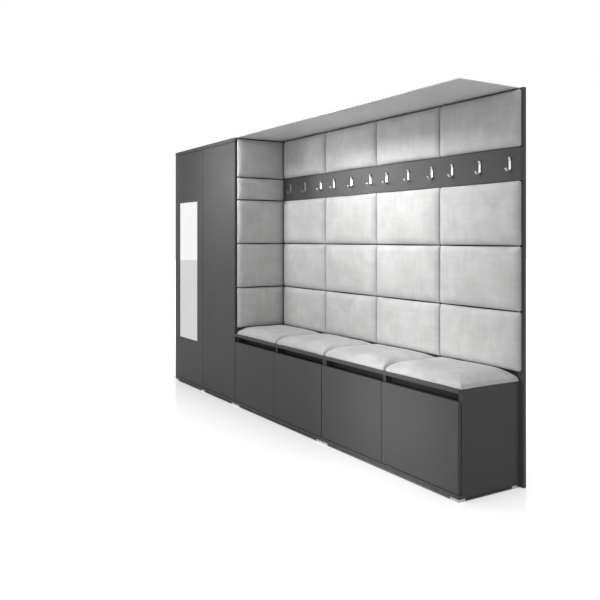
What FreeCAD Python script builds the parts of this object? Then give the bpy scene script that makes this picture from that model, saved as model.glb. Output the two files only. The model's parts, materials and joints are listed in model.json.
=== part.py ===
import FreeCAD, Part
import math
import os

os.makedirs("parts", exist_ok=True)

# Entrance-hall locker unit: a two-door wardrobe, a four-door bench with seat cushions,
# and a padded back wall with a rail of coat hooks under a thin canopy.
# Millimetres. +X runs along the unit, -Y is the front, +Z is up.
# The origin is the middle of the footprint, on the floor.

# Overall layout
wardrobe_width = 1000.0
bench_width = 1000.0
bench_count = 2
overall_depth = 400.0
canopy_height = 1800.0
seat_board_height = 480.0
panel_overhang = 19.0

# Board thicknesses
board = 18.0
thick_board = 25.0
door_thickness = 18.0
thin_back = 3.0
back_panel_thickness = 18.0
back_rebate = 9.0

# Canopy sheet, with a flange let into the back panel and a lap let into the wardrobe's top
canopy_sheet = 4.0
canopy_flange = 60.0
canopy_lap = 40.0
canopy_gap = 5.0

# Doors
door_reveal = 3.0
door_meeting_gap = 3.0
door_gap = 2.0
door_end_gap = 3.0
door_edge_chamfer = 1.0
finger_gap = 36.0
grip_depth = 36.0
grip_rail_height = 70.0

# Mirror let flush into the first wardrobe door
mirror_width = 310.0
mirror_bottom = 356.0
mirror_height = 1040.0
mirror_thickness = 4.0
mirror_play = 0.5

# Single-pivot cup hinges
pivot_from_edge = 6.5
pivot_from_face = 6.5
pin_radius = 1.5
pin_play = 0.1
eye_wall = 1.3
arm_plate = 2.8
arm_height = 10.0
arm_length = 60.0
arm_play = 2.0
arm_base_start = 12.0
arm_base_height = 16.0
cup_play = 0.6
cup_cheek = 2.6
cup_flange_length = 22.0
cup_flange_height = 28.0
cup_flange_sheet = 1.2
wardrobe_hinges = 3
bench_hinges = 2
wardrobe_hinge_inset = 110.0
bench_hinge_inset = 80.0

# Push latches under the wardrobe's top board
latch_offset = 60.0
latch_width = 16.0
latch_length = 64.0
latch_setback = 8.0
plunger_radius = 5.0
plunger_play = 0.3
plunger_length = 54.0
plunger_gap = 0.3
plunger_travel = 3.0

# Shelves, shelf supports and the front-to-back clothes rod
wardrobe_shelf_count = 4
shelf_setback = 30.0
shelf_play = 0.5
hat_shelf_drop = 280.0
support_width = 10.0
support_depth = 14.0
support_height = 7.0
support_inset = 40.0
rod_radius = 12.5
rod_drop = 60.0
rod_setback = 45.0
rod_length = 270.0
socket_wall = 4.0
socket_length = 12.0
socket_stem = 10.0
socket_plate = 4.0
socket_plate_width = 44.0

# Glides
glide_height = 12.0
glide_width = 50.0
glide_depth = 42.0
glide_chamfer = 3.0
glide_inset = 2.0

# Upholstered pads
pad_columns = 4
tall_pad_rows = ("upper_row", "middle_row")
pad_lift = 42.0
pad_gap = 4.0
pad_board = 8.0
pad_board_inset = 4.0
pad_foam = 37.0
pad_crown = 8.0
pad_rim = 15.0
pad_tuck = 3.0
pad_draw_in = 1.5
side_pad_setback = 10.0
corner_gap = 2.0

# Seat cushions, which fill the bench below the pads
cushion_height = 54.0
cushion_setback = 4.0
cushion_gap = 3.0
cushion_crown = 18.0
cushion_rim = 20.0
cushion_tuck = 3.0
cushion_draw_in = 1.5

# Hook rail, between the short row of pads at the top and the rows below, and hooks
short_row_height = 269.0
rail_height = 150.0
hooks_per_column = 3
hook_spacing = 176.0
hook_shift = 14.0
hook_width = 12.0
hook_plate = 4.0
hook_height = 66.0
hook_lean = 16.0
hook_lean_length = 18.0
hook_bend_radius = 11.0
hook_sweep = 140.0
hook_tip = 9.0
hook_drop = 41.0
hook_chamfer = 1.2

# Wall screw holes in the back panel, covered by the pads
wall_hole_radius = 3.5

# Levels and planes worked out from the sizes above
overall_width = wardrobe_width + bench_count * bench_width + panel_overhang
left = -overall_width / 2
wardrobe_right = left + wardrobe_width
wardrobe_middle = left + wardrobe_width / 2
bench_right = wardrobe_right + bench_count * bench_width
panel_right = bench_right + panel_overhang
front = -overall_depth / 2
back = overall_depth / 2
door_back = front + door_thickness
case_front = door_back + door_gap
panel_front = back - back_panel_thickness
case_floor = glide_height + board
wardrobe_ceiling = canopy_height - thick_board
seat_board_under = seat_board_height - board
door_bottom = case_floor + door_end_gap
wardrobe_door_top = wardrobe_ceiling - door_end_gap
bench_door_top = seat_board_under - finger_gap
canopy_under = canopy_height - canopy_sheet
rail_top = canopy_height - short_row_height
rail_bottom = rail_top - rail_height
lower_row_bottom = seat_board_height + pad_lift
lower_row_top = lower_row_bottom + short_row_height
tall_row_pitch = (rail_bottom - lower_row_top) / len(tall_pad_rows)
pad_thickness = pad_board + pad_foam
seat_left = wardrobe_right + pad_thickness + corner_gap
column_pitch = (panel_right - seat_left) / pad_columns
cushion_left = wardrobe_right + corner_gap
cushion_pitch = (bench_right - cushion_left) / pad_columns
hat_shelf_level = wardrobe_ceiling - hat_shelf_drop
bench_shelf_level = (case_floor + bench_door_top) / 2

# Hinge layout, measured inwards from the outer face of the cabinet side that carries the door
pivot_inset = door_reveal + pivot_from_edge
pivot_y = front + pivot_from_face
eye_radius = pin_radius + pin_play + eye_wall
door_corner_reach = math.hypot(pivot_from_edge, door_thickness - pivot_from_face)
leg_near = pivot_inset + door_corner_reach + arm_play
leg_far = leg_near + arm_plate
cup_near = pivot_inset - eye_radius - cup_play
cup_far = leg_far + arm_play
cup_floor = pivot_y - eye_radius - cup_play
cup_height = arm_height + 2 * cup_play + 2 * cup_cheek


def box(x0, x1, y0, y1, z0, z1):
    """Box between two corners, given in any order along X."""
    corner = FreeCAD.Vector(min(x0, x1), y0, z0)
    return Part.makeBox(abs(x1 - x0), y1 - y0, z1 - z0, corner)


def rod_between(radius, start, direction, length):
    return Part.makeCylinder(radius, length, FreeCAD.Vector(*start), FreeCAD.Vector(*direction))


def octagon_bar(flat_radius, x, y, z, height):
    """Upright eight-sided bar, given the distance from its axis to its flats."""
    corner_radius = flat_radius / math.cos(math.pi / 8)
    centre = FreeCAD.Vector(x, y, z)
    corners = []
    for index in range(9):
        turn = (index + 0.5) * math.pi / 4
        corners.append(centre + FreeCAD.Vector(math.cos(turn), math.sin(turn), 0) * corner_radius)
    return Part.Face(Part.makePolygon(corners)).extrude(FreeCAD.Vector(0, 0, height))


def cut_all(shape, tools):
    for tool in tools:
        shape = shape.cut(tool)
    return shape


def edges_where(shape, test):
    return [edge for edge in shape.Edges if all(test(vertex.Point) for vertex in edge.Vertexes)]


def save(name, *solids):
    """Write one node, as one solid or as a group of separate solids."""
    shape = solids[0] if len(solids) == 1 else Part.makeCompound(list(solids))
    shape.exportStep("parts/" + name + ".step")


def arc_through(points):
    return Part.Arc(*[FreeCAD.Vector(*point) for point in points]).toShape()


def pad_section(half, thickness, crown, rim, tuck, place):
    """Cross-section of a pad: bulging sides that turn over into a crown, on a flat back."""
    shoulder = thickness - crown
    turn = shoulder - rim
    side = [(half - tuck, 0), (half, rim), (half - turn, shoulder)]
    top = [(half - turn, shoulder), (0, thickness), (turn - half, shoulder)]
    other_side = [(-across, level) for across, level in reversed(side)]
    arcs = [arc_through([place(*point) for point in points]) for points in (side, top, other_side)]
    base = [FreeCAD.Vector(*place(across, 0)) for across in (tuck - half, half - tuck)]
    return Part.Wire(arcs + [Part.makeLine(*base)])


def pad_outline(width, height, draw_in, level):
    """Outline of a pad seen from its crown: four sides that pull in between the corners."""
    x = width / 2
    y = height / 2
    return Part.Wire([
        arc_through([(-x, -y, level), (0, draw_in - y, level), (x, -y, level)]),
        arc_through([(x, -y, level), (x - draw_in, 0, level), (x, y, level)]),
        arc_through([(x, y, level), (0, y - draw_in, level), (-x, y, level)]),
        arc_through([(-x, y, level), (draw_in - x, 0, level), (-x, -y, level)]),
    ])


def soft_pad(width, height, thickness, crown, rim, tuck, draw_in):
    """Crowned pad with drawn-in sides, lying on its flat back at level zero."""
    shape = (thickness, crown, rim, tuck)
    across = [pad_section(width / 2, *shape, lambda a, z, y=y: (a, y, z)) for y in (-height / 2, height / 2)]
    along = [pad_section(height / 2, *shape, lambda a, z, x=x: (x, a, z)) for x in (-width / 2, width / 2)]
    outline = [pad_outline(width, height, draw_in, level) for level in (0, thickness)]
    lofts = [Part.makeLoft(wires, True, True) for wires in (across, along, outline)]
    return lofts[0].common(lofts[1]).common(lofts[2]).Solids[0]


def back_pad(width, height):
    return soft_pad(width, height, pad_foam, pad_crown, pad_rim, pad_tuck, pad_draw_in)


def facing_front(shape, x, y, z):
    """Stand a pad up against the back wall, crown towards -Y."""
    shape.rotate(FreeCAD.Vector(), FreeCAD.Vector(1, 0, 0), 90)
    shape.translate(FreeCAD.Vector(x, y, z))
    return shape


def facing_right(shape, x, y, z):
    """Stand a pad up against the wardrobe's side, crown towards +X."""
    shape.rotate(FreeCAD.Vector(), FreeCAD.Vector(1, 0, 0), 90)
    shape.rotate(FreeCAD.Vector(), FreeCAD.Vector(0, 0, 1), 90)
    shape.translate(FreeCAD.Vector(x, y, z))
    return shape


def hinge_heights(low, high, count, inset):
    step = (high - low - 2 * inset) / (count - 1)
    return [low + inset + step * index for index in range(count)]


def hinge_arm(side_x, inward, z):
    """Angled arm on a cabinet side: base, leg, neck and the eye round the hinge pin."""
    low = z - arm_height / 2
    high = z + arm_height / 2
    pivot_x = side_x + inward * pivot_inset
    near = side_x + inward * leg_near
    far = side_x + inward * leg_far
    neck_low = pivot_y - arm_plate / 2
    arm_end = case_front + arm_length
    neck = box(pivot_x, far, neck_low, neck_low + arm_plate, low, high)
    leg = box(near, far, neck_low, arm_end, low, high)
    eye = octagon_bar(eye_radius, pivot_x, pivot_y, low, arm_height)
    base_low = z - arm_base_height / 2
    base_front = case_front + arm_base_start
    base = box(side_x + inward * board, near, base_front, arm_end, base_low, base_low + arm_base_height)
    bore = rod_between(pin_radius + pin_play, (pivot_x, pivot_y, low), (0, 0, 1), arm_height)
    return neck.fuse([leg, eye, base]).cut(bore).removeSplitter()


def hinge_pocket(side_x, inward, z):
    """Space that one hinge cup takes in the back of a door."""
    low = z - cup_height / 2
    return box(side_x + inward * cup_near, side_x + inward * (cup_far + cup_cheek),
               cup_floor, door_back, low, low + cup_height)


def hinge_cup(side_x, inward, z):
    """Cup let into a door: two cheeks with the pin between them, an end wall and a flange."""
    hollow_low = z - arm_height / 2 - cup_play
    hollow = box(side_x + inward * cup_near, side_x + inward * cup_far, cup_floor, door_back,
                 hollow_low, hollow_low + arm_height + 2 * cup_play)
    flange_low = z - cup_flange_height / 2
    flange = box(side_x + inward * cup_far, side_x + inward * (cup_far + cup_flange_length),
                 door_back, door_back + cup_flange_sheet, flange_low, flange_low + cup_flange_height)
    pin = rod_between(pin_radius, (side_x + inward * pivot_inset, pivot_y, z - cup_height / 2),
                      (0, 0, 1), cup_height)
    return hinge_pocket(side_x, inward, z).cut(hollow).fuse([flange, pin]).removeSplitter()


def door(side_x, inward, width, top, heights):
    """Door between the boards above and below it, with eased edges and a pocket for each hinge cup."""
    near = side_x + inward * door_reveal
    far = side_x + inward * (width - door_meeting_gap / 2)
    leaf = box(near, far, front, door_back, door_bottom, top)
    face_edges = edges_where(leaf, lambda point: abs(point.y - front) < 1e-6)
    leaf = leaf.makeChamfer(door_edge_chamfer, face_edges)
    return cut_all(leaf, [hinge_pocket(side_x, inward, z) for z in heights])


def hung_door(name, side_x, inward, width, top, count, inset, recess=None):
    """Save a door with its cups, and give back the arms that stay on the cabinet."""
    heights = hinge_heights(door_bottom, top, count, inset)
    leaf = door(side_x, inward, width, top, heights)
    if recess:
        leaf = leaf.cut(recess)
    save(name, leaf)
    save(name + "_hinge_cups", *[hinge_cup(side_x, inward, z) for z in heights])
    return [hinge_arm(side_x, inward, z) for z in heights]


def shelf_supports(x0, x1, y0, y1, z):
    """Four supports under a shelf's ends."""
    solids = []
    for side_x, inward in ((x0, 1), (x1, -1)):
        for y in (y0 + support_inset, y1 - support_inset - support_depth):
            solids.append(box(side_x, side_x + inward * support_width, y, y + support_depth,
                              z - support_height, z))
    return solids


def shelf(x0, x1, y1, z):
    return box(x0 + shelf_play, x1 - shelf_play, case_front + shelf_setback, y1, z, z + board)


def glide(x0, y0):
    """Low glide with its upright corners taken off."""
    body = box(x0, x0 + glide_width, y0, y0 + glide_depth, 0, glide_height)
    upright = [edge for edge in body.Edges if abs(edge.Vertexes[0].Z - edge.Vertexes[1].Z) > 1]
    return body.makeChamfer(glide_chamfer, upright)


def glide_row(x0, x1, y1, middle):
    """Glides under the front and rear corners of a cabinet, with a middle pair where it is wide."""
    places = [x0 + glide_inset, x1 - glide_inset - glide_width]
    if middle:
        places.append((x0 + x1 - glide_width) / 2)
    rows = (front + glide_inset, y1 - glide_inset - glide_depth)
    return [glide(x, y) for x in places for y in rows]


def rod_socket(x, y, shelf_under):
    """Ring, stem and plate that hang one end of the clothes rod from the hat shelf."""
    rod_z = shelf_under - rod_drop
    outer = rod_radius + socket_wall
    ring = rod_between(outer, (x, y, rod_z), (0, 1, 0), socket_length)
    stem = box(x - socket_stem / 2, x + socket_stem / 2, y, y + socket_length, rod_z, shelf_under)
    plate_front = y + socket_length / 2 - socket_plate_width / 2
    plate = box(x - socket_plate_width / 2, x + socket_plate_width / 2,
                plate_front, plate_front + socket_plate_width, shelf_under - socket_plate, shelf_under)
    bore = rod_between(rod_radius, (x, y, rod_z), (0, 1, 0), socket_length)
    return ring.fuse([stem, plate]).cut(bore).removeSplitter()


def hook_point(angle, radius):
    """Point of the hook's bend, in the plane of its profile: angle 0 is at the rail."""
    turn = math.radians(angle)
    centre_y = -hook_plate - hook_bend_radius
    return FreeCAD.Vector(0, centre_y + radius * math.cos(turn), -radius * math.sin(turn))


def chamfered_end(first, second, lead):
    """Edges that close the end of the hook's bar, with both corners taken off."""
    across = (second - first).normalize()
    points = [first, first + (lead + across) * hook_chamfer, second + (lead - across) * hook_chamfer, second]
    return [Part.makeLine(start, end) for start, end in zip(points, points[1:])]


def coat_hook(x, rail_face, top_z):
    """Flat bar bent into a J: a plate with a leaning top end, and a prong that turns out and up."""
    outer = hook_bend_radius + hook_plate
    inner = hook_bend_radius
    lead = FreeCAD.Vector(0, -math.sin(math.radians(hook_sweep)), -math.cos(math.radians(hook_sweep)))
    outer_end = hook_point(hook_sweep, outer)
    inner_end = hook_point(hook_sweep, inner)
    outer_tip = outer_end + lead * hook_tip
    inner_tip = inner_end + lead * hook_tip
    lean = math.radians(hook_lean)
    lean_lead = FreeCAD.Vector(0, -math.sin(lean), math.cos(lean))
    back_bend = FreeCAD.Vector(0, 0, hook_height - outer - (hook_lean_length + hook_chamfer) * math.cos(lean))
    front_bend = back_bend + FreeCAD.Vector(0, -hook_plate, -hook_plate * math.tan(lean / 2))
    back_top = back_bend + lean_lead * hook_lean_length
    front_top = back_top + FreeCAD.Vector(0, -math.cos(lean), -math.sin(lean)) * hook_plate
    profile = Part.Wire([
        Part.makeLine(front_bend, front_top),
        *chamfered_end(front_top, back_top, lean_lead),
        Part.makeLine(back_top, back_bend),
        Part.makeLine(back_bend, hook_point(0, outer)),
        arc_through([hook_point(0, outer), hook_point(hook_sweep / 2, outer), outer_end]),
        Part.makeLine(outer_end, outer_tip),
        *chamfered_end(outer_tip, inner_tip, lead),
        Part.makeLine(inner_tip, inner_end),
        arc_through([inner_end, hook_point(hook_sweep / 2, inner), hook_point(0, inner)]),
        Part.makeLine(hook_point(0, inner), front_bend),
    ])
    hook = Part.Face(profile).extrude(FreeCAD.Vector(hook_width, 0, 0))
    hook.translate(FreeCAD.Vector(x - hook_width / 2, rail_face, top_z - hook_height + outer))
    return hook


# Wardrobe case
wardrobe_back = box(left + back_rebate, wardrobe_right - back_rebate, back - thin_back, back,
                    glide_height + back_rebate, canopy_height - back_rebate)
wardrobe_case = {
    "wardrobe_left_side": box(left, left + board, case_front, back, case_floor, wardrobe_ceiling),
    "wardrobe_right_side": box(wardrobe_right - board, wardrobe_right, case_front, back,
                               case_floor, wardrobe_ceiling),
    "wardrobe_divider": box(wardrobe_middle - board / 2, wardrobe_middle + board / 2, case_front, back,
                            case_floor, wardrobe_ceiling),
    "wardrobe_top": box(left, wardrobe_right, front, back, wardrobe_ceiling, canopy_height),
    "wardrobe_bottom": box(left, wardrobe_right, front, back, glide_height, case_floor),
}
canopy_edge = box(wardrobe_right - canopy_lap, wardrobe_right, case_front, back, canopy_under, canopy_height)
for name, panel in wardrobe_case.items():
    save(name, cut_all(panel, [wardrobe_back, canopy_edge]))
save("wardrobe_back", wardrobe_back)

# Wardrobe inside: shelves on the left, hat shelf and clothes rod on the right
case_rear = back - thin_back
left_bay = (left + board, wardrobe_middle - board / 2)
right_bay = (wardrobe_middle + board / 2, wardrobe_right - board)
shelf_front = case_front + shelf_setback
supports = []
shelf_step = (wardrobe_ceiling - case_floor) / (wardrobe_shelf_count + 1)
for index in range(wardrobe_shelf_count):
    level = case_floor + shelf_step * (index + 1)
    save("wardrobe_shelf_%d" % (index + 1), shelf(*left_bay, case_rear, level))
    supports += shelf_supports(*left_bay, shelf_front, case_rear, level)
save("wardrobe_hat_shelf", shelf(*right_bay, case_rear, hat_shelf_level))
supports += shelf_supports(*right_bay, shelf_front, case_rear, hat_shelf_level)
rod_x = (right_bay[0] + right_bay[1]) / 2
rod_y = case_front + rod_setback
rod_start = (rod_x, rod_y, hat_shelf_level - rod_drop)
save("clothes_rod", rod_between(rod_radius, rod_start, (0, 1, 0), rod_length))
save("clothes_rod_sockets", rod_socket(rod_x, rod_y, hat_shelf_level),
     rod_socket(rod_x, rod_y + rod_length - socket_length, hat_shelf_level))

# Bench cabinets
bench_backs = []
grip_rails = []
bench_shelves = []
for index in range(bench_count):
    letter = chr(ord("a") + index)
    x0 = wardrobe_right + index * bench_width
    x1 = x0 + bench_width
    middle = (x0 + x1) / 2
    bench_back = box(x0 + back_rebate, x1 - back_rebate, panel_front - thin_back, panel_front,
                     glide_height + back_rebate, seat_board_under)
    uprights = {"left_side": x0, "right_side": x1 - board, "divider": middle - board / 2}
    for name, x in uprights.items():
        panel = box(x, x + board, case_front, panel_front, case_floor, seat_board_under)
        save("bench_%s_%s" % (letter, name), panel.cut(bench_back))
    floor_panel = box(x0, x1, front, panel_front, glide_height, case_floor)
    save("bench_%s_bottom" % letter, floor_panel.cut(bench_back))
    bench_backs.append(bench_back)
    grip_front = case_front + grip_depth
    for bay in ((x0 + board, middle - board / 2), (middle + board / 2, x1 - board)):
        grip_rails.append(box(*bay, grip_front, grip_front + board,
                              seat_board_under - grip_rail_height, seat_board_under))
        bench_rear = panel_front - thin_back
        bench_shelves.append(shelf(*bay, bench_rear, bench_shelf_level))
        supports += shelf_supports(*bay, shelf_front, bench_rear, bench_shelf_level)
save("bench_backs", *bench_backs)
save("bench_grip_rails", *grip_rails)
save("bench_shelves", *bench_shelves)
save("shelf_supports", *supports)
save("bench_top", box(wardrobe_right, bench_right, front, panel_front, seat_board_under, seat_board_height))

# Glides under every cabinet
glides = glide_row(left, wardrobe_right, back, True)
for index in range(bench_count):
    x0 = wardrobe_right + index * bench_width
    glides += glide_row(x0, x0 + bench_width, panel_front, False)
save("glides", *glides)

# Doors, mirror and hinges
wardrobe_leaf = wardrobe_width / 2
mirror_x = left + (door_reveal + wardrobe_leaf - door_meeting_gap / 2) / 2
mirror_left = mirror_x - mirror_width / 2
mirror_recess = box(mirror_left - mirror_play, mirror_left + mirror_width + mirror_play,
                    front, front + mirror_thickness,
                    mirror_bottom - mirror_play, mirror_bottom + mirror_height + mirror_play)
save("mirror", box(mirror_left, mirror_left + mirror_width, front, front + mirror_thickness,
                   mirror_bottom, mirror_bottom + mirror_height))
arms = hung_door("wardrobe_mirror_door", left, 1, wardrobe_leaf, wardrobe_door_top,
                 wardrobe_hinges, wardrobe_hinge_inset, mirror_recess)
arms += hung_door("wardrobe_plain_door", wardrobe_right, -1, wardrobe_leaf, wardrobe_door_top,
                  wardrobe_hinges, wardrobe_hinge_inset)
for index in range(bench_count):
    x0 = wardrobe_right + index * bench_width
    for step, side_x, inward in ((1, x0, 1), (2, x0 + bench_width, -1)):
        arms += hung_door("bench_door_%d" % (2 * index + step), side_x, inward, bench_width / 2,
                          bench_door_top, bench_hinges, bench_hinge_inset)
save("hinge_arms", *arms)

# Push latches, one beside each wardrobe door's free edge
housings = []
for name, side in (("left", -1), ("right", 1)):
    latch_x = wardrobe_middle + side * latch_offset
    latch_z = wardrobe_ceiling - latch_width / 2
    latch_front = case_front + latch_setback
    nose = door_back + plunger_gap
    housing = box(latch_x - latch_width / 2, latch_x + latch_width / 2,
                  latch_front, latch_front + latch_length, wardrobe_ceiling - latch_width, wardrobe_ceiling)
    bore_length = nose + plunger_length + plunger_travel + plunger_gap - latch_front
    bore = rod_between(plunger_radius + plunger_play, (latch_x, latch_front, latch_z), (0, 1, 0), bore_length)
    housings.append(housing.cut(bore))
    save("latch_plunger_" + name,
         rod_between(plunger_radius, (latch_x, nose, latch_z), (0, 1, 0), plunger_length))
save("latch_housings", *housings)

# Canopy: a bent sheet level with the wardrobe's top, which it laps, hung on the back panel by its flange
canopy_flange_sheet = box(wardrobe_right, bench_right, back - canopy_sheet, back,
                          canopy_height - canopy_flange, canopy_height)
canopy_roof = box(wardrobe_right, bench_right, front, back, canopy_under, canopy_height)
canopy = canopy_roof.fuse([canopy_edge, canopy_flange_sheet]).removeSplitter()
save("canopy", canopy)

# Back panel with its wall screw holes, cut back for the canopy and its flange
back_panel = box(wardrobe_right, panel_right, panel_front, back, 0, canopy_height)
lower_hole = (lower_row_bottom + lower_row_top) / 2
upper_hole = (rail_top + canopy_under) / 2
for column in (0, pad_columns - 1):
    hole_x = seat_left + (column + 0.5) * column_pitch
    for hole_z in (lower_hole, upper_hole):
        hole = rod_between(wall_hole_radius, (hole_x, panel_front, hole_z), (0, 1, 0), back_panel_thickness)
        back_panel = back_panel.cut(hole)
save("back_panel", back_panel.cut(canopy))

# Rail and hooks
rail_face = panel_front - board
save("hook_rail", box(seat_left, panel_right, rail_face, panel_front, rail_bottom, rail_top))
for column in range(pad_columns):
    centre = seat_left + (column + 0.5) * column_pitch + hook_shift
    hooks = []
    for index in range(hooks_per_column):
        hook_x = centre + (index - (hooks_per_column - 1) / 2) * hook_spacing
        hooks.append(coat_hook(hook_x, rail_face, rail_top - hook_drop))
    save("coat_hooks_%d" % (column + 1), *hooks)

# Upholstered pads: each is a board on the panel and a crowned soft face on the board
rows = {"top_row": (rail_top, canopy_under - canopy_gap)}
for index, name in enumerate(tall_pad_rows):
    row_top = rail_bottom - index * tall_row_pitch
    rows[name] = (row_top - tall_row_pitch, row_top)
rows["lower_row"] = (lower_row_bottom, lower_row_top)
soft_width = column_pitch - pad_gap
pad_boards = []
for name, (low, high) in rows.items():
    soft_height = high - low - pad_gap
    pads = []
    for column in range(pad_columns):
        centre = seat_left + (column + 0.5) * column_pitch
        soft = back_pad(soft_width, soft_height)
        pads.append(facing_front(soft, centre, panel_front - pad_board, (low + high) / 2))
        half = soft_width / 2 - pad_board_inset
        pad_boards.append(box(centre - half, centre + half, panel_front - pad_board, panel_front,
                              low + pad_gap / 2 + pad_board_inset, high - pad_gap / 2 - pad_board_inset))
    save("back_pads_" + name, *pads)
save("back_pad_boards", *pad_boards)

# Column of pads on the wardrobe's side, with one as tall as the rail
side_front = front + side_pad_setback
side_back = panel_front - corner_gap
side_depth = side_back - side_front
side_middle = (side_front + side_back) / 2
side_pads = []
side_boards = []
for low, high in list(rows.values()) + [(rail_bottom, rail_top)]:
    soft = back_pad(side_depth, high - low - pad_gap)
    side_pads.append(facing_right(soft, wardrobe_right + pad_board, side_middle, (low + high) / 2))
    side_boards.append(box(wardrobe_right, wardrobe_right + pad_board,
                           case_front + pad_board_inset, side_back - pad_board_inset,
                           low + pad_gap / 2 + pad_board_inset, high - pad_gap / 2 - pad_board_inset))
save("side_pads", *side_pads)
save("side_pad_boards", *side_boards)

# Seat cushions, from the front of the bench to the back panel, below the pads
cushion_front = front + cushion_setback
cushion_depth = panel_front - corner_gap - cushion_front
cushions = []
for column in range(pad_columns):
    soft = soft_pad(cushion_pitch - cushion_gap, cushion_depth, cushion_height,
                    cushion_crown, cushion_rim, cushion_tuck, cushion_draw_in)
    centre = cushion_left + (column + 0.5) * cushion_pitch
    soft.translate(FreeCAD.Vector(centre, cushion_front + cushion_depth / 2, seat_board_height))
    cushions.append(soft)
save("seat_cushions", *cushions)
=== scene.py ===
import json
import math

import bmesh
import bpy
from mathutils import Matrix, Vector, noise


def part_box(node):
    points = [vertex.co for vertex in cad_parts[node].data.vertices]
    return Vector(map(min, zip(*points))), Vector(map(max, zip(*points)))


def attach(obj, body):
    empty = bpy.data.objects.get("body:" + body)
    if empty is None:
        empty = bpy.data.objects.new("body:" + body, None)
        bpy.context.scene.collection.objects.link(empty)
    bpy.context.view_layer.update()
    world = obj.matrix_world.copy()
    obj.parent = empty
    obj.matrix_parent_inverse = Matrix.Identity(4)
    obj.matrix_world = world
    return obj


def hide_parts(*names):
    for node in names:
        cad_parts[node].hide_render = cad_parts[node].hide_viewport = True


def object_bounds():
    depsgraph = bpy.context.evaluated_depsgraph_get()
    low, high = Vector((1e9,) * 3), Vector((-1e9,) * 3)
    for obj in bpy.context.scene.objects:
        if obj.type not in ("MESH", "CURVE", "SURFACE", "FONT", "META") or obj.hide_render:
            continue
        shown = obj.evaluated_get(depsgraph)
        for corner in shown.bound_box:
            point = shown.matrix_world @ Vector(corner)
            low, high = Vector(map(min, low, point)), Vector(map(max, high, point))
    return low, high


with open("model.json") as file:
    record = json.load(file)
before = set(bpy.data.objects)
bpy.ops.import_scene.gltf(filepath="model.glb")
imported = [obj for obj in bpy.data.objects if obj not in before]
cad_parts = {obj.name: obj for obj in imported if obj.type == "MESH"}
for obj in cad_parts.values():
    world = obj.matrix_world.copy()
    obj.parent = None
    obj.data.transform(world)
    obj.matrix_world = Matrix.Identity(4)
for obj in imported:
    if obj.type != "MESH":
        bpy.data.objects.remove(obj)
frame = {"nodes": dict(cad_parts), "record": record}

cad_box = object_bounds()
scene = bpy.context.scene
nodes = frame["nodes"]
slot_of = {part["node"]: part["material_slot"] for part in frame["record"]["subparts"]}


# Node helpers
def feed(tree, node, values):
    """Give a node's inputs their values: links from other nodes' sockets, or constants."""
    for name, value in values.items():
        if isinstance(value, bpy.types.NodeSocket):
            tree.links.new(value, node.inputs[name])
        else:
            node.inputs[name].default_value = value


def new_node(tree, kind, values=None, **settings):
    """Node of one kind with its settings made before its inputs get their values."""
    node = tree.nodes.new(kind)
    for name, setting in settings.items():
        setattr(node, name, setting)
    feed(tree, node, values or {})
    return node


def new_material(name):
    """Empty material with a Principled shader, its tree and its object coordinates."""
    material = bpy.data.materials.new(name)
    material.use_nodes = True
    tree = material.node_tree
    tree.nodes.clear()
    output = new_node(tree, "ShaderNodeOutputMaterial")
    shader = new_node(tree, "ShaderNodeBsdfPrincipled")
    feed(tree, output, {"Surface": shader.outputs["BSDF"]})
    place = new_node(tree, "ShaderNodeTexCoord").outputs["Object"]
    return material, tree, shader, place


def stretched(tree, place, scale):
    """Object coordinates scaled by a different amount along each axis."""
    return new_node(tree, "ShaderNodeMapping", {"Vector": place, "Scale": scale}).outputs["Vector"]


def noise_value(tree, place, scale=1.0, detail=2.0, distortion=0.0):
    """Value of a noise texture, with scale in waves to a metre."""
    values = {"Vector": place, "Scale": scale, "Detail": detail, "Distortion": distortion}
    return new_node(tree, "ShaderNodeTexNoise", values).outputs["Fac"]


def ranged(tree, value, low, high, from_low=0.3, from_high=0.7):
    """Value spread over the range from low to high. Noise lies mostly in the range that is the default."""
    values = {"Value": value, "From Min": from_low, "From Max": from_high, "To Min": low, "To Max": high}
    return new_node(tree, "ShaderNodeMapRange", values).outputs["Result"]


def mixed_colour(tree, factor, first, second):
    """Colour that goes from the first to the second as the factor goes from 0 to 1."""
    values = {"Factor": factor, "A": (*first, 1.0), "B": (*second, 1.0)}
    return new_node(tree, "ShaderNodeMix", values, data_type="RGBA").outputs["Result"]


def toned(tree, texture, dark, light):
    """Colour that goes from dark to light over the whole range of a noise texture."""
    return mixed_colour(tree, ranged(tree, texture, low=0.0, high=1.0), dark, light)


def bumped(tree, shader, height, depth, under=None):
    """Bump of a real depth in metres, laid over an earlier one where there is one."""
    bump = new_node(tree, "ShaderNodeBump", {"Height": height, "Distance": depth})
    if under is not None:
        feed(tree, bump, {"Normal": under})
    feed(tree, shader, {"Normal": bump.outputs["Normal"]})
    return bump.outputs["Normal"]


def math_step(tree, operation, *values):
    """One step of arithmetic on values that are each a socket or a number."""
    step = new_node(tree, "ShaderNodeMath", dict(enumerate(values)), operation=operation)
    return step.outputs["Value"]


def vector_step(tree, operation, *values):
    """One step of vector arithmetic on values that are each a socket or three numbers."""
    step = new_node(tree, "ShaderNodeVectorMath", dict(enumerate(values)), operation=operation)
    return step.outputs["Value" if operation in ("LENGTH", "DOT_PRODUCT") else "Vector"]


def mixed_shader(tree, share, first, second):
    """Shader that goes from the first to the second as the share goes from 0 to 1."""
    return new_node(tree, "ShaderNodeMixShader", {"Fac": share, 1: first, 2: second}).outputs["Shader"]


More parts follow.
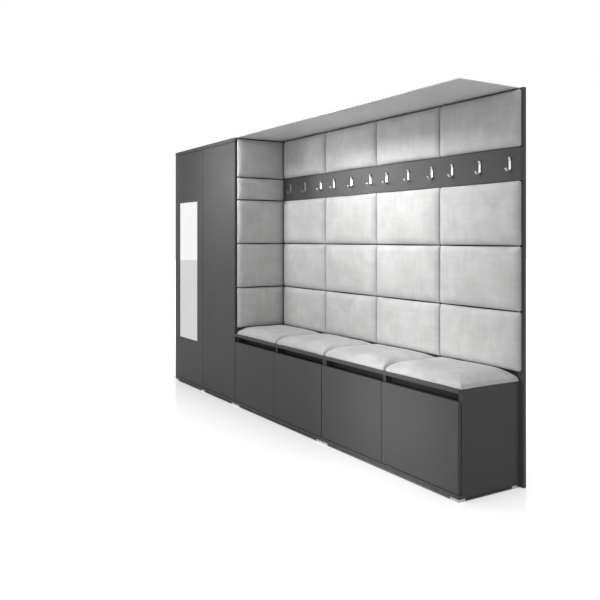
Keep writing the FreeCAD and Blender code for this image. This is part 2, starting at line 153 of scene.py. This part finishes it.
# Materials
def graphite_board(name, dark, light):
    """Dark grey melamine facing: a fine pressed grain and a slightly uneven sheen."""
    material, tree, shader, place = new_material(name)
    grain = noise_value(tree, place, scale=650.0, detail=3.0)
    cloud = noise_value(tree, place, scale=5.0, detail=3.0)
    feed(tree, shader, {
        "Base Color": toned(tree, grain, dark, light),
        "Roughness": ranged(tree, cloud, low=0.42, high=0.52),
        "Specular IOR Level": 0.2,
    })
    bumped(tree, shader, grain, depth=0.00006)
    return material


def backing_board():
    """Thin hardboard with short matted fibres."""
    material, tree, shader, place = new_material("backing_board")
    lengthwise = stretched(tree, place, scale=(240.0, 240.0, 60.0))
    fibre = noise_value(tree, lengthwise, detail=4.0, distortion=0.8)
    feed(tree, shader, {
        "Base Color": toned(tree, fibre, dark=(0.15, 0.15, 0.155), light=(0.25, 0.25, 0.255)),
        "Roughness": ranged(tree, fibre, low=0.72, high=0.86),
    })
    bumped(tree, shader, fibre, depth=0.0002)
    return material


def velvet():
    """Pale grey short-pile velvet: brushed clouds and faint crossed strokes in the nap over a fine pile."""
    material, tree, shader, place = new_material("velvet")
    cloud = noise_value(tree, place, scale=10.0, detail=6.0, distortion=0.5)
    level_strokes = noise_value(tree, stretched(tree, place, scale=(7.0, 7.0, 55.0)))
    upright_strokes = noise_value(tree, stretched(tree, place, scale=(55.0, 55.0, 7.0)))
    pile = noise_value(tree, place, scale=900.0)
    both_strokes = math_step(tree, "ADD", level_strokes, upright_strokes)
    stroke_share = ranged(tree, both_strokes, low=0.0, high=0.35, from_low=0.7, from_high=1.3)
    cloud_share = ranged(tree, cloud, low=0.0, high=0.65)
    nap = math_step(tree, "ADD", stroke_share, cloud_share)
    feed(tree, shader, {
        "Base Color": mixed_colour(tree, nap, first=(0.49, 0.49, 0.485), second=(0.64, 0.64, 0.635)),
        "Roughness": ranged(tree, cloud, low=0.80, high=0.95),
        "Sheen Weight": 0.25,
        "Sheen Roughness": 0.35,
        "Specular IOR Level": 0.2,
    })
    brushed = bumped(tree, shader, nap, depth=0.0006)
    bumped(tree, shader, pile, depth=0.0004, under=brushed)
    return material


def mirror_glass():
    """Silvered glass with a breath of haze."""
    material, tree, shader, place = new_material("mirror_glass")
    haze = noise_value(tree, place, scale=7.0, detail=4.0)
    feed(tree, shader, {
        "Base Color": toned(tree, haze, dark=(0.90, 0.91, 0.91), light=(0.94, 0.95, 0.95)),
        "Roughness": ranged(tree, haze, low=0.004, high=0.02),
        "Metallic": 1.0,
    })
    return material


def metal(name, dark, light, smooth, rough, brushing):
    """Plated metal with fine brush lines along one axis."""
    material, tree, shader, place = new_material(name)
    lines = noise_value(tree, stretched(tree, place, scale=brushing), detail=3.0)
    feed(tree, shader, {
        "Base Color": toned(tree, lines, dark, light),
        "Roughness": ranged(tree, lines, low=smooth, high=rough),
        "Metallic": 1.0,
    })
    bumped(tree, shader, lines, depth=0.00002)
    return material


def canopy_sheet():
    """Light grey powder coat with its faint orange peel."""
    material, tree, shader, place = new_material("canopy_sheet")
    peel = noise_value(tree, place, scale=420.0)
    cloud = noise_value(tree, place, scale=3.0, detail=3.0)
    feed(tree, shader, {
        "Base Color": toned(tree, cloud, dark=(0.70, 0.70, 0.705), light=(0.78, 0.78, 0.785)),
        "Roughness": ranged(tree, peel, low=0.50, high=0.64),
    })
    bumped(tree, shader, peel, depth=0.00008)
    return material


def latch_plastic():
    """Moulded grey plastic with a spark-eroded texture."""
    material, tree, shader, place = new_material("latch_plastic")
    spark = noise_value(tree, place, scale=1500.0, detail=1.0)
    feed(tree, shader, {
        "Base Color": toned(tree, spark, dark=(0.14, 0.14, 0.145), light=(0.18, 0.18, 0.185)),
        "Roughness": ranged(tree, spark, low=0.45, high=0.62),
    })
    bumped(tree, shader, spark, depth=0.00008)
    return material


# Brush lines to a metre along each axis
UPRIGHT_BRUSHING = (500.0, 500.0, 40.0)
LENGTHWISE_BRUSHING = (60.0, 700.0, 700.0)

materials = {
    "graphite_board": graphite_board("graphite_board", dark=(0.069, 0.069, 0.070),
                                     light=(0.088, 0.088, 0.090)),
    # Darker copy of the board for the rails behind the finger grips: painted shade of their recess
    "grip_shade_board": graphite_board("grip_shade_board", dark=(0.024, 0.024, 0.025), light=(0.032, 0.032, 0.033)),
    "backing_board": backing_board(),
    "velvet": velvet(),
    "mirror_glass": mirror_glass(),
    "chrome": metal("chrome", dark=(0.68, 0.68, 0.69), light=(0.82, 0.82, 0.83),
                    smooth=0.28, rough=0.42, brushing=UPRIGHT_BRUSHING),
    # Brighter copy of the chrome for the glides: painted reflection of the white floor
    "bright_chrome": metal("bright_chrome", dark=(0.86, 0.86, 0.87), light=(0.94, 0.94, 0.95),
                           smooth=0.20, rough=0.34, brushing=UPRIGHT_BRUSHING),
    "hinge_steel": metal("hinge_steel", dark=(0.46, 0.46, 0.47), light=(0.60, 0.60, 0.61),
                         smooth=0.26, rough=0.42, brushing=LENGTHWISE_BRUSHING),
    "canopy_sheet": canopy_sheet(),
    "latch_plastic": latch_plastic(),
}


def dress(obj, finish):
    """Give an object one material all over."""
    obj.data.materials.clear()
    obj.data.materials.append(materials[finish])


for name, obj in nodes.items():
    dress(obj, slot_of[name])
# The rails behind the finger grips get a darker copy of the board, painted shade for the deep recess behind
# the grips
dress(nodes["bench_grip_rails"], "grip_shade_board")
# The glides get a brighter copy of the coat hooks' chrome, painted reflection of the white floor around
# them
dress(nodes["glides"], "bright_chrome")

# Upholstery, in metres
COLUMNS = 4
BACK_ROWS = ("top_row", "upper_row", "middle_row", "lower_row")
PAD_GAP = 0.004
SIDE_PAD_SEED = 40
CUSHION_GAP = 0.002
CUSHION_SEED = 60

# The last cushion swells out past the end of the seat board
CUSHION_OVERHANG = 0.012
# The second cushion is the mirror image of its neighbours
MIRRORED_COLUMN = 1

# A pad's width, height and outward directions
X_AXIS = (1.0, 0.0, 0.0)
Y_AXIS = (0.0, 1.0, 0.0)
Z_AXIS = (0.0, 0.0, 1.0)
FRONT_AXIS = (0.0, -1.0, 0.0)
BACK_PAD_AXES = (X_AXIS, Z_AXIS, FRONT_AXIS)
SIDE_PAD_AXES = (Y_AXIS, Z_AXIS, X_AXIS)
CUSHION_AXES = (X_AXIS, Y_AXIS, Z_AXIS)

# wall and rise are heights, and shoulders are the widths of the turned left, right, lower and upper edges
# hip fills the corners between two shoulders, and a plateau is the power by which the crown falls
# tuck and draw_in pull the edges in, and drift and pinch are the depths of broad and narrow unevenness
PAD_FORM = {
    "wall": 0.009, "rise": 0.020, "shoulders": ((0.040, 0.040), (0.040, 0.040)), "hip": 0.0,
    "plateau": 2.2, "upper_plateau": 2.2, "corner": 0.007, "tuck": 0.003, "draw_in": 0.0015,
    "drift": 0.0014, "pinch": 0.0010, "pinch_reach": 0.030, "wall_steps": 3, "steps": (24, 15),
}
CUSHION_FORM = {
    "wall": 0.012, "rise": 0.026, "shoulders": ((0.014, 0.014), (0.095, 0.014)), "hip": 0.6,
    "plateau": 3.0, "upper_plateau": 8.0, "corner": 0.004, "tuck": 0.0, "draw_in": 0.002,
    "drift": 0.0020, "pinch": 0.0008, "pinch_reach": 0.050, "wall_steps": 4, "steps": (24, 18),
}
END_CUSHION_FORM = dict(CUSHION_FORM, shoulders=((0.014, 0.110), (0.095, 0.014)))
RIM_STEPS = 7
DRAW_IN_POWER = 5

# Unevenness: waves to a metre, and the steps between the layers of noise of two pads
DRIFT_SCALE = 6.0
DRIFT_STEP = 3.17
RIPPLE_SCALE = 24.0
RIPPLE_STEP = 7.31

# Simulated cover of a cushion, which starts narrower than the cushion and deeper, and is then blown out
CUSHION_SLACK = 0.004
CUSHION_SINK = 0.010
CUSHION_CAP = 0.005
VOXEL = 0.005
SMOOTHING = 0.5
EVEN_ROUNDS = 6
SETTLE_ROUNDS = 8
HELD_BELOW = 0.004
COVER_FRAMES = 20
COVER = {
    "quality": 5,
    "mass": 0.3,
    "tension_stiffness": 20.0,
    "compression_stiffness": 20.0,
    "shear_stiffness": 8.0,
    "bending_stiffness": 0.8,
    "use_pressure": True,
    "uniform_pressure_force": 4.0,
}


def turned_stations(half, shoulders, middle_steps):
    """Places from -half to half, close together where the pad turns over its shoulders."""
    first, last = shoulders
    low = first - half
    high = half - last
    shares = [1 - math.cos(math.pi / 2 * step / RIM_STEPS) for step in range(RIM_STEPS)]
    rising = [first * share - half for share in shares]
    middle = [low + (high - low) * step / middle_steps for step in range(middle_steps + 1)]
    falling = [half - last * share for share in reversed(shares)]
    return rising + middle + falling


def rounded_corner(place, half, radius):
    """Point of a pad's plan moved inside the rounded corners of its outline."""
    reach = [max(0.0, abs(value) - (edge - radius)) / radius for value, edge in zip(place, half)]
    if min(reach) <= 0.0:
        return place
    bent = (reach[0] * math.sqrt(1 - reach[1] ** 2 / 2), reach[1] * math.sqrt(1 - reach[0] ** 2 / 2))
    return tuple(math.copysign(edge - radius + radius * part, value)
                 for value, edge, part in zip(place, half, bent))


def drawn_in(place, half, amount):
    """Plan point pulled inwards between the corners, as a stretched cover pulls."""
    across = place[0] / half[0]
    along = place[1] / half[1]
    pull_x = amount * (1 - along * along) * abs(across) ** DRAW_IN_POWER
    pull_y = amount * (1 - across * across) * abs(along) ** DRAW_IN_POWER
    return place[0] - math.copysign(pull_x, place[0]), place[1] - math.copysign(pull_y, place[1])


def shoulder_rise(distance, shoulder):
    """Quarter circle from the pad's edge to the inner end of its shoulder."""
    inward = min(1.0, max(0.0, distance / shoulder))
    return math.sqrt(1 - (1 - inward) ** 2)


def unevenness(place, scale, layer):
    """Smooth noise over a pad's plan, in one layer of a field of noise."""
    return noise.noise(Vector((place[0] * scale, place[1] * scale, layer)))


def pad_surface(place, half, form, seed):
    """Level of the pad's face above its flat back at one place of its plan."""
    rises = [shoulder_rise(edge - abs(value), pair[value > 0])
             for value, edge, pair in zip(place, half, form["shoulders"])]
    round_corner = rises[0] * rises[1]
    rise = round_corner + form["hip"] * (min(rises) - round_corner)
    across = min(1.0, abs(place[0]) / half[0])
    along = min(1.0, abs(place[1]) / half[1])
    fall = form["upper_plateau"] if place[1] > 0 else form["plateau"]
    swell = (1 - across ** form["plateau"]) * (1 - along ** fall)
    drift = unevenness(place, DRIFT_SCALE, seed * DRIFT_STEP)
    ripple = unevenness(place, RIPPLE_SCALE, seed * RIPPLE_STEP)
    near_edge = min(half[0] - abs(place[0]), half[1] - abs(place[1]))
    pinch = ripple * math.exp(-near_edge / form["pinch_reach"])
    level = form["wall"] + form["rise"] * rise + form["crown"] * swell
    return level + rise * (form["drift"] * drift + form["pinch"] * pinch)


def face_grid(mesh, half, form, seed):
    """Columns of vertices of a pad's crowned face, joined by its faces."""
    us, vs = [turned_stations(edge, pair, count)
              for edge, pair, count in zip(half, form["shoulders"], form["steps"])]
    grid = []
    for u in us:
        column = []
        for v in vs:
            level = pad_surface((u, v), half, form, seed)
            x, y = drawn_in(rounded_corner((u, v), half, form["corner"]), half, form["draw_in"])
            column.append(mesh.verts.new((x, y, level)))
        grid.append(column)
    for near, far in zip(grid, grid[1:]):
        for row in range(len(vs) - 1):
            mesh.faces.new([near[row], far[row], far[row + 1], near[row + 1]])
    return grid


def outer_loop(grid):
    """Outer vertices of a grid, in order all the way round."""
    lower = [column[0] for column in grid]
    right = grid[-1]
    upper = [column[-1] for column in reversed(grid)]
    left = list(reversed(grid[0]))
    return lower[:-1] + right[:-1] + upper[:-1] + left[:-1]


def tucked_walls(mesh, loop, half, form):
    """Walls from the face's outline down to level zero. Returns the loop at their foot."""
    edge = [vert.co.copy() for vert in loop]
    for step in range(1, form["wall_steps"] + 1):
        share = step / form["wall_steps"]
        narrower = [1 - form["tuck"] * share ** 2 / side for side in half]
        level = form["wall"] * (1 - share)
        below = [mesh.verts.new((co.x * narrower[0], co.y * narrower[1], level)) for co in edge]
        for index in range(len(loop)):
            following = (index + 1) % len(loop)
            mesh.faces.new([loop[index], below[index], below[following], loop[following]])
        loop = below
    return loop


def stuffed_mesh(size, form, seed):
    """Pad in its own frame, on a flat back at level zero: tucked walls, rounded shoulders, crowned face."""
    half = (size[0] / 2, size[1] / 2)
    form = dict(form, crown=size[2] - form["wall"] - form["rise"])
    mesh = bmesh.new()
    grid = face_grid(mesh, half, form, seed)
    foot = tucked_walls(mesh, outer_loop(grid), half, form)
    mesh.faces.new(list(reversed(foot)))
    bmesh.ops.recalc_face_normals(mesh, faces=mesh.faces)
    data = bpy.data.meshes.new("stuffed")
    mesh.to_mesh(data)
    mesh.free()
    return data


def evaluated_copy(obj):
    """Mesh of an object with its modifiers applied."""
    return bpy.data.meshes.new_from_object(obj.evaluated_get(bpy.context.evaluated_depsgraph_get()))


def add_smoothing(obj, rounds):
    smooth = obj.modifiers.new("smooth", "SMOOTH")
    smooth.factor = SMOOTHING
    smooth.iterations = rounds


def inflated(data, cap):
    """The same pad after its cover has been blown out by its stuffing, moved no further than the cap."""
    obj = bpy.data.objects.new("stuffing", data)
    scene.collection.objects.link(obj)
    even = obj.modifiers.new("even", "REMESH")
    even.mode = "VOXEL"
    even.voxel_size = VOXEL
    add_smoothing(obj, EVEN_ROUNDS)
    start = evaluated_copy(obj)
    obj.modifiers.clear()
    obj.data = start
    base = obj.vertex_groups.new(name="base")
    base.add([vert.index for vert in start.vertices if vert.co.z < HELD_BELOW], 1.0, "REPLACE")
    cover = obj.modifiers.new("cover", "CLOTH")
    for name, value in COVER.items():
        setattr(cover.settings, name, value)
    cover.settings.vertex_group_mass = base.name
    cover.settings.effector_weights.gravity = 0.0
    cover.point_cache.frame_start = 1
    cover.point_cache.frame_end = COVER_FRAMES
    for frame_number in range(1, COVER_FRAMES + 1):
        scene.frame_set(frame_number)
    blown = evaluated_copy(obj)
    for after, before in zip(blown.vertices, start.vertices):
        move = after.co - before.co
        if move.length > cap:
            move *= cap / move.length
        after.co = before.co + move
    obj.modifiers.clear()
    obj.data = blown
    add_smoothing(obj, SETTLE_ROUNDS)
    settled = evaluated_copy(obj)
    bpy.data.objects.remove(obj)
    scene.frame_set(1)
    return settled


def upholstered(name, data, axes, centre, mirrored=False):
    """One pad of the object, from a mesh in its own frame.

    axes are the pad's width, height and outward directions, and centre is the middle of its flat back.
    """
    mesh = bmesh.new()
    mesh.from_mesh(data)
    if mirrored:
        mesh.transform(Matrix.Scale(-1.0, 4, Vector(X_AXIS)))
        bmesh.ops.reverse_faces(mesh, faces=mesh.faces)
    mesh.transform(Matrix.Translation(centre) @ Matrix(axes).transposed().to_4x4())
    placed = bpy.data.meshes.new(name)
    mesh.to_mesh(placed)
    mesh.free()
    # The many-cornered face of a flat back isn't smooth
    for polygon in placed.polygons:
        polygon.use_smooth = len(polygon.vertices) == 4
    obj = bpy.data.objects.new(name, placed)
    scene.collection.objects.link(obj)
    dress(obj, "velvet")
    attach(obj, "case")
    return obj


def back_pads():
    """Sixteen pads on the back wall, four to a row. Returns the rows' levels."""
    levels = []
    for row_index, row in enumerate(BACK_ROWS):
        node = "back_pads_" + row
        low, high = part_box(node)
        levels.append((low.z, high.z))
        pitch = (high.x - low.x + PAD_GAP) / COLUMNS
        size = (pitch - PAD_GAP, high.z - low.z, high.y - low.y)
        for column in range(COLUMNS):
            middle_x = low.x + (column + 0.5) * pitch - PAD_GAP / 2
            centre = Vector((middle_x, high.y, (low.z + high.z) / 2))
            data = stuffed_mesh(size, PAD_FORM, row_index * COLUMNS + column + 1)
            name = "back_pad_%s_%d" % (row, column + 1)
            piece = upholstered(name, data, BACK_PAD_AXES, centre)
            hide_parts(node)
    return levels


def side_pads(row_levels):
    """Pads on the wardrobe's side, level with the rows and with the hook rail."""
    rail_low, rail_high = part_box("hook_rail")
    rail_levels = (rail_low.z + PAD_GAP / 2, rail_high.z - PAD_GAP / 2)
    low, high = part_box("side_pads")
    for index, (bottom, top) in enumerate(row_levels + [rail_levels]):
        size = (high.y - low.y, top - bottom, high.x - low.x)
        centre = Vector((low.x, (low.y + high.y) / 2, (bottom + top) / 2))
        data = stuffed_mesh(size, PAD_FORM, SIDE_PAD_SEED + index)
        piece = upholstered("side_pad_%d" % (index + 1), data, SIDE_PAD_AXES, centre)
        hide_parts("side_pads")


def stuffed_cushion(size, form):
    """Cushion of the given size, blown out from a smaller one and pressed flat on the seat board."""
    slack = 2 * CUSHION_SLACK
    start = (size[0] - slack, size[1] - slack, size[2] - CUSHION_CAP + CUSHION_SINK)
    deeper = dict(form, wall=form["wall"] + CUSHION_SINK)
    data = inflated(stuffed_mesh(start, deeper, CUSHION_SEED), CUSHION_CAP)
    for vert in data.vertices:
        vert.co.z = max(0.0, vert.co.z - CUSHION_SINK)
    return data


def seat_cushions():
    """Four cushions along the seat board. The last one turns over a broad shoulder at the bench's end."""
    low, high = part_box("seat_cushions")
    right = high.x + CUSHION_OVERHANG
    pitch = (right - low.x + CUSHION_GAP) / COLUMNS
    size = (pitch - CUSHION_GAP, high.y - low.y, high.z - low.z)
    inner = stuffed_cushion(size, CUSHION_FORM)
    end = stuffed_cushion(size, END_CUSHION_FORM)
    for column in range(COLUMNS):
        middle_x = low.x + (column + 0.5) * pitch - CUSHION_GAP / 2
        centre = Vector((middle_x, (low.y + high.y) / 2, low.z))
        data = end if column == COLUMNS - 1 else inner
        name = "seat_cushion_%d" % (column + 1)
        piece = upholstered(name, data, CUSHION_AXES, centre, column == MIRRORED_COLUMN)
        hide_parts("seat_cushions")


side_pads(back_pads())
seat_cushions()

# Studio floor, in metres: what the camera sees of it is its own glow, lit paint and a little gloss
FLOOR_SIZE = 60.0
FLOOR_DARK = (0.53, 0.53, 0.53)
FLOOR_LIGHT = (0.57, 0.57, 0.57)
FLOOR_SEEN_PAINT = (0.60, 0.60, 0.60, 1.0)
# The floor's glow grows from near the cabinets to far from them: painted shade around the cabinets
FLOOR_GLOW_NEAR = 0.58
FLOOR_GLOW_FAR = 0.90
FLOOR_GLOW_REACH = 2.0
FLOOR_EDGE = 0.0005
FLOOR_IN_MIRRORS = 0.2
FLOOR_GLOSS_REACH = 2.0
FLOOR_GLOSS_ROUGHNESS = 0.12
FLOOR_GLOSS_IOR = 1.3

# Dome of light around the object: where it is brightest, and its least and greatest strength
DOME_BRIGHT_SIDE = (-0.906, 0.0, 0.423)
DOME_DIM = 0.22
DOME_BRIGHT = 1.28
WHITE = (1.0, 1.0, 1.0, 1.0)
WORLD_IN_MIRRORS = 1.0


def distance_from_unit(tree, place):
    """Distance over the floor from the cabinets' footprint, zero underneath them."""
    low = (cad_box[0][0], cad_box[0][1], 0.0)
    high = (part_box("bench_top")[1].x, cad_box[1][1], 0.0)
    before = vector_step(tree, "SUBTRACT", low, place)
    beyond = vector_step(tree, "SUBTRACT", place, high)
    further = vector_step(tree, "MAXIMUM", before, beyond)
    outside = vector_step(tree, "MAXIMUM", further, (0.0, 0.0, 0.0))
    return vector_step(tree, "LENGTH", outside)


def seen_share(tree, in_mirrors):
    """One for what the camera sees, a share of it in metal and glass, and zero for light on its way."""
    path = new_node(tree, "ShaderNodeLightPath").outputs
    mirrored = math_step(tree, "MAXIMUM", path["Is Glossy Ray"], path["Is Transmission Ray"])
    share = math_step(tree, "MULTIPLY", mirrored, in_mirrors)
    return math_step(tree, "MAXIMUM", path["Is Camera Ray"], share)


def floor_material():
    """Pale floor: light grey for the light it sends back, white where the camera sees it.

    The part of the white that the camera gets from lit paint keeps the object's shadow, the floor under
    the cabinets has no other white, and a little gloss keeps the object's reflection. The glow is weaker
    near the cabinets than far from them, which paints shade around them.
    """
    material, tree, shader, place = new_material("studio_floor")
    cloud = noise_value(tree, place, scale=0.7)
    feed(tree, shader, {
        "Base Color": mixed_colour(tree, cloud, FLOOR_DARK, FLOOR_LIGHT),
        "Roughness": ranged(tree, cloud, low=0.5, high=0.6),
        "Specular IOR Level": 0.1,
    })
    distance = distance_from_unit(tree, place)
    # Glow that grows with the distance from the cabinets, painted shade near them
    glow_with_painted_shade = ranged(tree, math_step(tree, "SQRT", distance), FLOOR_GLOW_NEAR, FLOOR_GLOW_FAR,
                  from_low=0.0, from_high=math.sqrt(FLOOR_GLOW_REACH))
    open_floor = math_step(tree, "GREATER_THAN", distance, FLOOR_EDGE)
    glow = new_node(tree, "ShaderNodeEmission", {"Strength": math_step(tree, "MULTIPLY", glow_with_painted_shade, open_floor)})
    paint = new_node(tree, "ShaderNodeBsdfDiffuse", {"Color": FLOOR_SEEN_PAINT})
    seen = new_node(tree, "ShaderNodeAddShader", {0: glow.outputs["Emission"], 1: paint.outputs["BSDF"]})
    gloss = new_node(tree, "ShaderNodeBsdfGlossy", {"Roughness": FLOOR_GLOSS_ROUGHNESS})
    edge = new_node(tree, "ShaderNodeFresnel", {"IOR": FLOOR_GLOSS_IOR})
    near = ranged(tree, distance, low=1.0, high=0.0, from_low=0.0, from_high=FLOOR_GLOSS_REACH)
    gloss_share = math_step(tree, "MULTIPLY", edge.outputs["Fac"], near)
    coated = mixed_shader(tree, gloss_share, seen.outputs["Shader"], gloss.outputs["BSDF"])
    look = mixed_shader(tree, seen_share(tree, FLOOR_IN_MIRRORS), shader.outputs["BSDF"], coated)
    feed(tree, tree.nodes["Material Output"], {"Surface": look})
    return material


def studio_floor():
    """Flat square of floor around the object's origin."""
    data = bpy.data.meshes.new("studio_floor")
    reach = FLOOR_SIZE / 2
    corners = [(-reach, -reach, 0), (reach, -reach, 0), (reach, reach, 0), (-reach, reach, 0)]
    data.from_pydata(corners, [], [(0, 1, 2, 3)])
    data.materials.append(floor_material())
    floor = bpy.data.objects.new("studio_floor", data)
    scene.collection.objects.link(floor)


def studio_world():
    """White for what the camera and metal see, and a dome of light that is brightest on one side."""
    world = bpy.data.worlds.new("studio")
    world.use_nodes = True
    tree = world.node_tree
    tree.nodes.clear()
    output = new_node(tree, "ShaderNodeOutputWorld")
    direction = new_node(tree, "ShaderNodeTexCoord").outputs["Generated"]
    towards = vector_step(tree, "DOT_PRODUCT", direction, DOME_BRIGHT_SIDE)
    strength = ranged(tree, towards, DOME_DIM, DOME_BRIGHT, from_low=-1.0, from_high=1.0)
    cast = new_node(tree, "ShaderNodeBackground", {"Color": WHITE, "Strength": strength})
    seen = new_node(tree, "ShaderNodeBackground", {"Color": WHITE, "Strength": 1.0})
    share = seen_share(tree, WORLD_IN_MIRRORS)
    look = mixed_shader(tree, share, cast.outputs["Background"], seen.outputs["Background"])
    feed(tree, output, {"Surface": look})
    scene.world = world


def soft_lamp(name, place, target, size, power, spread=180.0):
    """Rectangular lamp that faces its target, with its power in watts and its spread in degrees."""
    lamp = bpy.data.lights.new(name, "AREA")
    lamp.shape = "RECTANGLE"
    lamp.size, lamp.size_y = size
    lamp.energy = power
    lamp.spread = math.radians(spread)
    obj = bpy.data.objects.new(name, lamp)
    obj.location = place
    obj.rotation_euler = (Vector(target) - Vector(place)).to_track_quat("-Z", "Y").to_euler()
    scene.collection.objects.link(obj)


studio_floor()
studio_world()
soft_lamp("key_lamp", place=(0.2, -1.6, 2.9), target=(0.4, 0.0, 1.1), size=(1.2, 0.8), power=9.0)
soft_lamp("pad_lamp", place=(0.65, -1.4, 2.4), target=(0.70, 0.15, 1.22),
          size=(0.4, 0.4), power=2.8, spread=52.0)
soft_lamp("rail_lamp", place=(-1.3, -1.25, 1.75), target=(0.4, 0.16, 1.42),
          size=(0.4, 0.4), power=0.8, spread=32.0)
soft_lamp("door_lamp", place=(-0.75, -1.2, 2.3), target=(-0.68, -0.2, 1.45),
          size=(0.4, 0.4), power=1.8, spread=45.0)
soft_lamp("bench_lamp", place=(1.2, -1.6, 0.55), target=(1.05, -0.2, 0.25),
          size=(0.6, 0.4), power=1.2, spread=45.0)

# Camera, solved from the photograph's edges: pixels of a 600 by 600 image, metres, degrees
IMAGE_SIZE = 600
FOCAL_PIXELS = 698.7
PRINCIPAL_X = 254.3
PRINCIPAL_Y = 238.8
CAMERA_PLACE = (3.6258, -2.4214, 1.1187)
CAMERA_TILT = 90.0
CAMERA_YAW = 60.17
SENSOR = 36.0
CLIP_END = 200.0


def photo_camera():
    """Level camera at the photograph's viewpoint, shifted to its principal point."""
    data = bpy.data.cameras.new("photo_camera")
    data.sensor_width = SENSOR
    data.lens = FOCAL_PIXELS / IMAGE_SIZE * SENSOR
    data.shift_x = 0.5 - PRINCIPAL_X / IMAGE_SIZE
    data.shift_y = PRINCIPAL_Y / IMAGE_SIZE - 0.5
    data.clip_end = CLIP_END
    camera = bpy.data.objects.new("photo_camera", data)
    camera.location = CAMERA_PLACE
    camera.rotation_euler = (math.radians(CAMERA_TILT), 0.0, math.radians(CAMERA_YAW))
    scene.collection.objects.link(camera)
    scene.camera = camera


photo_camera()
scene.view_settings.view_transform = "Standard"
